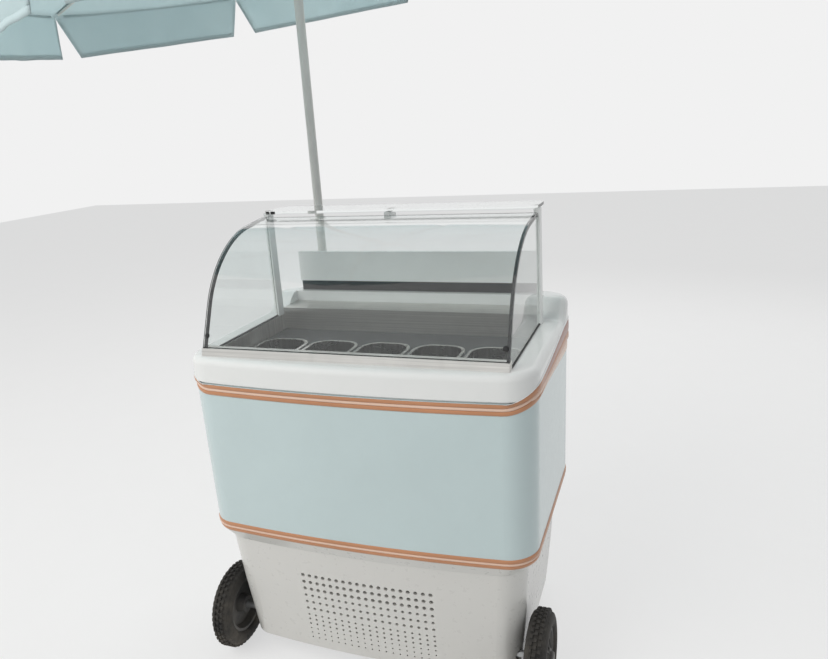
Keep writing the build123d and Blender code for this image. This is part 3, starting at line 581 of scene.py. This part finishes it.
def vent_filter():
    """A pleated sheet close behind the skirt's bowed front."""
    verts = []
    for i in range(FILTER_ROWS):
        z = FILTER_Z0 + FILTER_H * i / (FILTER_ROWS - 1)
        half, front, _, bow, _ = row_at(z)
        radius, cy = bow_arc(half, front, bow)
        for j in range(FILTER_COLS):
            x = -FILTER_LEN / 2 + FILTER_LEN * j / (FILTER_COLS - 1)
            y = cy - sqrt(radius * radius - x * x) + FILTER_IN
            verts.append(P(x, y + PLEAT * sin(2 * pi * j / PLEAT_COLS), z))
    sheet = build("vent_filter", verts, grid_faces(FILTER_ROWS, FILTER_COLS), filter_mat)
    thicken(sheet, 0.002, 1.0)


vent_filter()


# ---------------------------------------------------------------- gaskets of the front glass
# the glass leans back from its foot, bends, and slopes up to its rear edge
LEAN, SLOPE, GLASS_R, GLASS_INNER_R = radians(67), radians(6), 0.300, 0.294
KNEE_Y, KNEE_Z = -0.240, 1.060
BEND_Y = KNEE_Y + GLASS_R * sin(LEAN)
BEND_Z = KNEE_Z - GLASS_R * cos(LEAN)
GASKET_FOOT_Z, GASKET_REAR_Y = 0.960, 0.100
# shares of the outline at which the bend starts and ends
BEND_FROM, BEND_TO = 0.2, 0.8
GASKET_X, GASKET_STEPS = 0.4026, 44
# section of the gasket, as distance outwards and distance from the glass's inner face
GASKET_RING = ((0.0, -0.0004), (0.0052, -0.0004), (0.0060, -0.0035), (0.0052, -0.0072),
               (0.0, -0.0072), (-0.0025, -0.0040))


def bend_point(t, radius):
    """Point on the front glass's side outline, t from its gasket's foot (0) to its end (1)."""
    if t < BEND_FROM:
        y1, z1 = BEND_Y - radius * sin(LEAN), BEND_Z + radius * cos(LEAN)
        z = GASKET_FOOT_Z + (z1 - GASKET_FOOT_Z) * t / BEND_FROM
        return y1 - (z1 - z) / tan(LEAN), z
    if t < BEND_TO:
        a = LEAN + (SLOPE - LEAN) * (t - BEND_FROM) / (BEND_TO - BEND_FROM)
        return BEND_Y - radius * sin(a), BEND_Z + radius * cos(a)
    y0, z0 = BEND_Y - radius * sin(SLOPE), BEND_Z + radius * cos(SLOPE)
    y = y0 + (GASKET_REAR_Y - y0) * (t - BEND_TO) / (1 - BEND_TO)
    return y, z0 + (y - y0) * tan(SLOPE)


def edge_gasket(side, sign):
    """Black profile along one end of the front glass."""
    verts = []
    for i in range(GASKET_STEPS + 1):
        for out, off in GASKET_RING:
            y, z = bend_point(i / GASKET_STEPS, GLASS_INNER_R + off)
            verts.append(P(sign * (GASKET_X + out), y, z))
    rings, count = GASKET_STEPS + 1, len(GASKET_RING)
    faces = grid_faces(rings, count, wrap_cols=True) + end_caps(rings, count)
    build(f"edge_gasket_{side}", verts, faces, rubber)


for side, sign in SIDES:
    edge_gasket(side, sign)


# ---------------------------------------------------------------- road tyres with blocks
# half of the tyre's section from the wheel to the tread, as distance from its middle and radius
TYRE_HALF = ((0.0235, 0.0802), (0.0285, 0.0880), (0.0290, 0.0980), (0.0270, 0.1080),
             (0.0215, 0.1155), (0.0120, 0.1188))
TYRE_CROWN_R = 0.1198
TYRE_PROFILE = ([(-x, r) for x, r in TYRE_HALF] + [(0.0, TYRE_CROWN_R)]
                + [(x, r) for x, r in reversed(TYRE_HALF)])
TYRE_STEPS = 96
# rows of tread blocks: distance from the middle, root radius, width, shift in blocks
TREAD_ROWS = (
    (-0.0215, 0.1130, 0.0075, 0.0),
    (-0.0115, 0.1185, 0.0080, 0.5),
    (0.0, 0.1195, 0.0085, 0.0),
    (0.0115, 0.1185, 0.0080, 0.5),
    (0.0215, 0.1130, 0.0075, 0.0),
)
# blocks in a row, and half a block's length as a share of the way from block to block
TREAD_COUNT, HALF_BLOCK = 44, 0.31
TREAD_R, SHOULDER_R = 0.1249, 0.1205
# rows that lie past SHOULDER_FROM slope down from FLAT_HALF outwards
SHOULDER_FROM, FLAT_HALF, SHOULDER_FALL = 0.015, 0.012, 0.55
# a block starts below the tread, and narrows in two steps to its top
BLOCK_SUNK, BLOCK_CHAMFER, BLOCK_SIZES = 0.002, 0.0012, (1.0, 0.92, 0.74)
BLOCK_CORNERS = ((-1, -1), (1, -1), (1, 1), (-1, 1))


def tread_block(centre, row, k):
    """Points of one block, as three rings of four from its root to its top."""
    across, root, wide, shift = row
    shoulder = abs(across) >= SHOULDER_FROM
    top = SHOULDER_R if shoulder else TREAD_R
    fall = SHOULDER_FALL if shoulder else 0.0
    middle = 2 * pi * (k + shift) / TREAD_COUNT
    half_turn = 2 * pi / TREAD_COUNT * HALF_BLOCK
    verts = []
    for r, size in zip((root - BLOCK_SUNK, top - BLOCK_CHAMFER, top), BLOCK_SIZES):
        for x_side, turn_side in BLOCK_CORNERS:
            x = across + x_side * wide / 2 * size
            rr = r - fall * max(0.0, abs(x) - FLAT_HALF)
            a = middle + turn_side * half_turn * size
            verts.append(P(centre[0] + x, centre[1] + rr * cos(a), centre[2] + rr * sin(a)))
    return verts


def tyre(side, sign):
    """A tyre with tread blocks, in the place of the plain one."""
    cx, cy, cz = sign * WHEEL_X, WHEEL_Y, WHEEL_R
    verts = []
    for i in range(TYRE_STEPS):
        a = 2 * pi * i / TYRE_STEPS
        verts += [P(cx + x, cy + r * cos(a), cz + r * sin(a)) for x, r in TYRE_PROFILE]
    faces = grid_faces(TYRE_STEPS, len(TYRE_PROFILE), wrap_cols=True, wrap_rows=True)
    carcass = len(faces)
    for row in TREAD_ROWS:
        for k in range(TREAD_COUNT):
            base = len(verts)
            verts += tread_block((cx, cy, cz), row, k)
            faces += grid_faces(3, len(BLOCK_CORNERS), wrap_cols=True, base=base)
            faces.append((base + 8, base + 9, base + 10, base + 11))
    ob = build(f"road_tyre_{side}", verts, faces, tyre_rubber, body=f"wheel_body_{side}")
    ob.data.polygons.foreach_set("use_smooth", [i < carcass for i in range(len(faces))])
    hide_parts(f"tyre_{side}")


for side, sign in SIDES:
    tyre(side, sign)


# ---------------------------------------------------------------- parasol cloth
# the canopy's own axes: its mast, and two directions across it
TILT, TOWARDS = radians(8.0), radians(-129.2)
MAST_DIR = Vector((sin(TILT) * cos(TOWARDS), sin(TILT) * sin(TOWARDS), cos(TILT)))
ACROSS = Vector((cos(TILT), 0, -MAST_DIR.x)).normalized()
ALONG = MAST_DIR.cross(ACROSS).normalized()
KNUCKLE = P(-0.342, 0.329, 1.905)
# heights above the knuckle: lower edge of the valance, eave, top of the cloth
R_OUT, R_TOP, LOW, EAVE, PEAK = 0.981, 0.040, -0.047, 0.103, 0.393
FIELDS, TURN = 8, radians(41.1)
# how deep the cloth lies in its solid
CLOTH_IN, EDGE_IN = 0.0015, 0.002
# roof between two ribs: sag, pull inwards at the eave, ridge over a rib, creases, unevenness
SAG, PULL_IN, RIDGE, CREASE, UNEVEN = 0.022, 0.011, 0.004, 0.0035, 0.0022
# waves of a flap's foot: depth, number across it, shift from flap to flap
LONG_WAVE, SHORT_WAVE = (0.006, 2.0, 0.13), (0.004, 5.0, 0.4)
# how far a flap hangs inwards and how far its eave droops between two ribs
FLAP_IN, FLAP_DROOP = 0.002, 0.004
# slits beside a flap: where they start on the way down, and their share of its width
SLIT_FROM, SLIT_SHARE = 0.06, 0.066
# steps from top to eave, from rib to rib, and down the valance
ROOF_STEPS, FIELD_STEPS, FLAP_STEPS = 26, 24, 9


def tent(x, y, h):
    """A point given on the canopy's own axes, in the shared frame."""
    return KNUCKLE + ACROSS * x + ALONG * y + MAST_DIR * h


def between_ribs(s, r, v):
    """Point on the straight line from rib to rib of a field, and the field's direction."""
    a0, a1 = TURN + s * pi / 4, TURN + (s + 1) * pi / 4
    x = (1 - v) * cos(a0) * r + v * cos(a1) * r
    y = (1 - v) * sin(a0) * r + v * sin(a1) * r
    return x, y, (a0 + a1) / 2


def roof_at(s, u, v, lift=0.0):
    """Point on one roof field, u from the top to the eave and v from rib to rib."""
    x, y, middle = between_ribs(s, R_TOP + (R_OUT - R_TOP - EDGE_IN) * u, v)
    slack = 4 * v * (1 - v)
    sag = SAG * slack * (u ** 0.9) * (1.0 - 0.45 * u * u)
    ridge = RIDGE * sin(pi * u) * (1 - slack)
    h = PEAK - CLOTH_IN - (PEAK - EAVE) * u - sag + ridge
    pull = PULL_IN * slack * u ** 3
    x -= cos(middle) * pull
    y -= sin(middle) * pull
    crease = slack * (1 - slack) * CREASE * u * sin(9.0 * v * pi + 3.0 * s)
    h += UNEVEN * slack * noise.noise(Vector((x * 6, y * 6, 2.0))) + crease
    return tent(x, y, h + lift)


def wave(kind, s, v):
    """One of a flap's waves at a place across it."""
    depth, number, shift = kind
    return depth * sin(2 * pi * (number * v + shift * s))


def flap_at(s, w, v, out=0.0):
    """Point on one valance flap, w from the eave down and v from slit to slit."""
    cut = SLIT_SHARE * max(0.0, w - SLIT_FROM) / (1 - SLIT_FROM)
    v = cut + (1 - 2 * cut) * v
    x, y, middle = between_ribs(s, R_OUT - EDGE_IN, v)
    slack = 4 * v * (1 - v)
    waves = wave(LONG_WAVE, s, v) * w + wave(SHORT_WAVE, s, v) * w * w
    pull = PULL_IN * slack * (1 - w) - waves * slack ** 0.5 + FLAP_IN
    x -= cos(middle) * (pull - out)
    y -= sin(middle) * (pull - out)
    h = EAVE - CLOTH_IN - (EAVE - LOW - EDGE_IN) * w - FLAP_DROOP * slack * (1 - w)
    return tent(x, y, h)


def cloth_piece():
    """Roof fields and valance flaps as one sheet, in the place of the plain cloth."""
    verts, faces, where = [], [], {}

    def spot(key, point):
        """Number of a point, which is added when its key is new."""
        if key not in where:
            where[key] = len(verts)
            verts.append(point)
        return where[key]

    for s in range(FIELDS):
        def roof(i, j):
            """Number of a roof point. Two fields share those on the rib between them."""
            on_rib = j in (0, FIELD_STEPS)
            key = ("rib", (s + (j == FIELD_STEPS)) % FIELDS, i) if on_rib else (s, i, j)
            return spot(key, roof_at(s, i / ROOF_STEPS, j / FIELD_STEPS))

        def flap(i, j):
            """Number of a valance point. Its first row is the eave."""
            if i == 0:
                return roof(ROOF_STEPS, j)
            return spot(("flap", s, i, j), flap_at(s, i / FLAP_STEPS, j / FIELD_STEPS))

        for point, steps in ((roof, ROOF_STEPS), (flap, FLAP_STEPS)):
            for i in range(steps):
                for j in range(FIELD_STEPS):
                    faces.append((point(i, j), point(i + 1, j), point(i + 1, j + 1),
                                  point(i, j + 1)))
    ob = build("parasol_canopy", verts, faces, cloth_mat)
    thicken(ob, 0.0012, -1)
    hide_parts("parasol_cloth")
    return ob


canopy = cloth_piece()


# ---------------------------------------------------------------- seams, hems and eave binding
SEAM_STEPS, SEAM_FROM, SEAM_SPAN = 26, 0.02, 0.97
SEAM_HALF, SEAM_LIFT, SEAM_CROWN = 0.0095, 0.0014, 0.0022
HEM_OUT = 0.0012
# bands along a flap's foot and along the eave, as shares of the way down
FOOT_HEM, EAVE_BAND = (0.89, 0.945, 1.0), (0.015, 0.075)
# bands along a flap's two slits, as shares across, and where their rows lie on the way down
SLIT_HEMS = ((0.0, 0.016), (0.984, 1.0))
SLIT_ROWS = (0.16, 0.37, 0.58, 0.79, 0.89)


def sewn(name, strips):
    """Sewn bands on the cloth, each a list of rows of points, in one mesh."""
    verts, faces = [], []
    for rows in strips:
        base = len(verts)
        for row in rows:
            verts += row
        faces += grid_faces(len(rows), len(rows[0]), base=base)
    thicken(build(name, verts, faces, hem_mat), 0.0008, 1.0)


def seam(s):
    """Rows across the seam that runs down the rib at the start of a field."""
    rows = []
    for i in range(SEAM_STEPS + 1):
        u = SEAM_FROM + SEAM_SPAN * i / SEAM_STEPS
        dv = SEAM_HALF / (2 * (R_TOP + (R_OUT - R_TOP) * u) * sin(pi / FIELDS))
        rows.append([roof_at((s - 1) % FIELDS, u, 1 - dv, SEAM_LIFT),
                     roof_at(s, u, 0.0, SEAM_CROWN), roof_at(s, u, dv, SEAM_LIFT)])
    return rows


def flap_rows(s, downs, first, last):
    """Rows along a flap at some shares of the way down, between two steps of the field."""
    return [[flap_at(s, w, j / FIELD_STEPS, HEM_OUT) for j in range(first, last + 1)]
            for w in downs]


seams, hems, eaves = [], [], []
for s in range(FIELDS):
    seams.append(seam(s))
    hems.append(flap_rows(s, FOOT_HEM, 0, FIELD_STEPS))
    for edge in SLIT_HEMS:
        hems.append([[flap_at(s, w, v, HEM_OUT) for w in SLIT_ROWS] for v in edge])
    eaves.append(flap_rows(s, EAVE_BAND, 1, FIELD_STEPS - 1))
sewn("cloth_seams", seams)
sewn("cloth_hems", hems)
sewn("cloth_eave_binding", eaves)

# cap over the middle of the cloth, as radius and height above the top of the cloth
MAST_CAP = ((0.0330, -0.0060), (0.0345, -0.0020), (0.0330, 0.0030), (0.0210, 0.0100),
            (0.0172, 0.0150), (0.0168, 0.0300), (0.0140, 0.0355), (0.0080, 0.0385),
            (0.0020, 0.0395))
lathe("mast_cap", [(r, PEAK + h) for r, h in MAST_CAP], KNUCKLE, MAST_DIR, white_plastic)


# ---------------------------------------------------------------- small fastenings and edges
DOWN, RIGHT = Vector((0, 0, -1)), Vector((1, 0, 0))
# seats of a caster's bolts under its plate and of its nuts on the cheeks of its fork
BOLT_X, BOLT_Y, BOLT_Z, NUT_X = 0.042, 0.033, 0.1991, 0.0243
# section of a hexagon head, as shares of its radius and of its height
HEX_HEAD = ((1.0, 0.0), (1.0, 0.78), (0.84, 1.0), (0.30, 1.02))
# size across the flats and height
BOLT_SIZE, NUT_SIZE = (0.013, 0.0055), (0.017, 0.0062)
RIB_COUNT, RIB_TURN = 10, 0.1
# section of a wheel rib: radius, distance outwards from the wheel's middle, half thickness
WHEEL_RIB = ((0.0285, 0.0085, 0.0028), (0.0660, 0.0085, 0.0022), (0.0660, 0.0150, 0.0014),
             (0.0285, 0.0235, 0.0020))
# button that holds the front glass at its foot corner, as radius and height
BUTTON = ((0.0062, 0.0), (0.0068, 0.0012), (0.0060, 0.0032), (0.0035, 0.0042), (0.0008, 0.0044))
BUTTON_X, BUTTON_SHARE, BUTTON_SEAT_R = 0.3985, 0.06, 0.3002
# width of the rounding on pieces with sharp edges in view
EDGES = {
    "rear_upstand": 0.0030, "upstand_foot": 0.0010, "post_left": 0.0020, "post_right": 0.0020,
    "top_clamp": 0.0015, "sill_strip": 0.0010, "shelf_glass": 0.0010, "parasol_holder": 0.0008,
    "rear_ledge": 0.0006,
}


def hexagon(place, axis, across, height, turn):
    """Points and faces of a chamfered hexagon head."""
    r = across / sqrt(3)
    profile = [(r * wide, height * high) for wide, high in HEX_HEAD]
    faces = grid_faces(len(profile), 6, wrap_cols=True) + end_caps(len(profile), 6)
    return ring_points(profile, place, axis, 6, turn), faces


def fastenings(name, spots, body="cart"):
    """Hexagon heads in one mesh, from rows of place, axis, size across, height and turn."""
    verts, faces = [], []
    for spot in spots:
        v, f = hexagon(*spot)
        faces += [tuple(len(verts) + k for k in face) for face in f]
        verts += v
    build(name, verts, faces, bolt_mat, body=body, smooth=False)


def wheel_ribs(side, sign):
    """Ribs on the dished outer face of a road wheel."""
    verts, faces = [], []
    for k in range(RIB_COUNT):
        a = 2 * pi * k / RIB_COUNT + RIB_TURN
        out_dir, turn_dir = Vector((0, cos(a), sin(a))), Vector((0, -sin(a), cos(a)))
        base = len(verts)
        for r, x, half in WHEEL_RIB:
            centre = P(sign * (WHEEL_X + x), WHEEL_Y, WHEEL_R) + out_dir * r
            verts += [centre + turn_dir * (half * q) for q in (-1, 1)]
        faces += [tuple(base + q for q in face) for face in (
            (0, 1, 3, 2), (2, 3, 5, 4), (4, 5, 7, 6), (6, 7, 1, 0), (0, 2, 4, 6), (1, 7, 5, 3))]
    build(f"wheel_ribs_{side}", verts, faces, wheel_mat, body=f"wheel_body_{side}", smooth=False)


for side, sign in SIDES:
    x0 = sign * CASTER_X
    corners = [(dx, dy) for dy in (-BOLT_Y, BOLT_Y) for dx in (-BOLT_X, BOLT_X)]
    fastenings(f"caster_bolts_{side}", [
        (P(x0 + dx, CASTER_Y + dy, BOLT_Z), DOWN, *BOLT_SIZE, 0.2 * k)
        for k, (dx, dy) in enumerate(corners)])
    fastenings(f"caster_nuts_{side}", [
        (P(x0 + q * NUT_X, CASTER_AXLE_Y, CASTER_R), RIGHT * q, *NUT_SIZE, 0.3)
        for q in (-1, 1)], body=f"caster_{side}")
for side, sign in SIDES:
    wheel_ribs(side, sign)
for side, sign in SIDES:
    y, z = bend_point(BUTTON_SHARE, BUTTON_SEAT_R)
    lathe(f"glass_button_{side}", BUTTON, P(sign * BUTTON_X, y, z),
          Vector((0, -sin(LEAN), cos(LEAN))), rubber, count=18)
for name, width in EDGES.items():
    bevel(nodes[name], width)


# ---------------------------------------------------------------- world and floor
# strength of the light from all round, and of the background where it is seen
SOFT_LIGHT, BACKDROP_LIGHT = 0.38, 0.88
# half the floor's length, and how bright and how much of it glows where it is seen
FLOOR_HALF, FLOOR_GLOW, GLOW_SHARE = 12.0, 0.90, 0.66


def seen(nt):
    """1 for rays that show the background itself: from the camera, a mirror or through glass."""
    rays = add_node(nt, "LightPath")
    last = rays.outputs["Is Camera Ray"]
    for kind in ("Is Glossy Ray", "Is Transmission Ray"):
        last = calc(nt, "MAXIMUM", last, rays.outputs[kind])
    return last


def studio_world():
    """Soft light from all round, and a white background where it is seen."""
    world = bpy.data.worlds.new("studio")
    bpy.context.scene.world = world
    world.use_nodes = True
    nt = world.node_tree
    soft = nt.nodes["Background"]
    soft.inputs["Color"].default_value = (0.97, 0.985, 1.0, 1)
    soft.inputs["Strength"].default_value = SOFT_LIGHT
    backdrop = add_node(nt, "Background", Color=(1, 1, 1, 1), Strength=BACKDROP_LIGHT)
    both = mix_shaders(nt, seen(nt), soft.outputs["Background"], backdrop.outputs["Background"])
    link(nt, both, nt.nodes["World Output"].inputs["Surface"])


def pale_floor():
    """A plain floor that keeps the cart's shadow and is near white where it is seen."""
    me = bpy.data.meshes.new("floor")
    middle = P(0, 0, 0)
    me.from_pydata([(middle.x + dx * FLOOR_HALF, middle.y + dy * FLOOR_HALF, 0)
                    for dx, dy in ((-1, -1), (1, -1), (1, 1), (-1, 1))], [], [(0, 1, 2, 3)])
    floor = bpy.data.objects.new("floor", me)
    bpy.context.scene.collection.objects.link(floor)
    mat = surface("floor_pale", (0.84, 0.84, 0.83), 0.8, vary=0.01, grain=3.0, spec=0.2)
    nt = mat.node_tree
    glow = add_node(nt, "Emission", Color=(1, 1, 1, 1), Strength=FLOOR_GLOW)
    both = mix_shaders(nt, calc(nt, "MULTIPLY", seen(nt), GLOW_SHARE),
                       nt.nodes["Principled BSDF"].outputs["BSDF"], glow.outputs["Emission"])
    link(nt, both, nt.nodes["Material Output"].inputs["Surface"])
    floor.data.materials.append(mat)


studio_world()
pale_floor()


# ---------------------------------------------------------------- light and camera
def lamp(name, place, target, size, watts, color=(1, 1, 1)):
    """A soft rectangular lamp at a place, aimed at a target. Glass and gloss don't show it."""
    data = bpy.data.lights.new(name, "AREA")
    data.shape = "RECTANGLE"
    data.size, data.size_y = size
    data.energy = watts
    data.color = color
    ob = bpy.data.objects.new(name, data)
    ob.location = P(*place)
    ob.rotation_euler = (P(*target) - P(*place)).to_track_quat("-Z", "Y").to_euler()
    ob.visible_glossy = False
    ob.visible_transmission = False
    bpy.context.scene.collection.objects.link(ob)


lamp("sun_soft", (-2.6, -3.4, 4.4), (0, 0, 0.8), (4.0, 4.0), 200, (1.0, 0.985, 0.96))
lamp("fill_right", (3.4, -1.2, 2.2), (0, 0, 0.8), (2.4, 2.4), 6, (0.93, 0.97, 1.0))
lamp("back_rim", (0.8, 3.4, 3.2), (0, 0, 1.0), (3.0, 2.4), 60)

# the camera as solved from the photograph: focal length in pixels of its width, place, angles
FOCAL_PX, IMAGE_W, SENSOR_W = 736.04, 828, 36.0
EYE = (0.75495, -1.83322, 1.50744)
YAW, PITCH, ROLL = 0.35255, 0.28032, -0.06492


def photo_camera():
    """A camera where the photographer stood."""
    data = bpy.data.cameras.new("camera")
    data.sensor_width = SENSOR_W
    data.lens = FOCAL_PX / IMAGE_W * SENSOR_W
    data.clip_start, data.clip_end = 0.05, 60
    ahead = Vector((-sin(YAW) * cos(PITCH), cos(YAW) * cos(PITCH), -sin(PITCH)))
    level = Vector((cos(YAW), sin(YAW), 0))
    upright = level.cross(ahead)
    x = cos(ROLL) * level + sin(ROLL) * upright
    y = -sin(ROLL) * level + cos(ROLL) * upright
    turned = Matrix(((x.x, y.x, -ahead.x), (x.y, y.y, -ahead.y), (x.z, y.z, -ahead.z)))
    camera = bpy.data.objects.new("camera", data)
    camera.matrix_world = Matrix.Translation(P(*EYE)) @ turned.to_4x4()
    bpy.context.scene.collection.objects.link(camera)
    bpy.context.scene.camera = camera


photo_camera()
bpy.context.scene.view_settings.view_transform = "Standard"
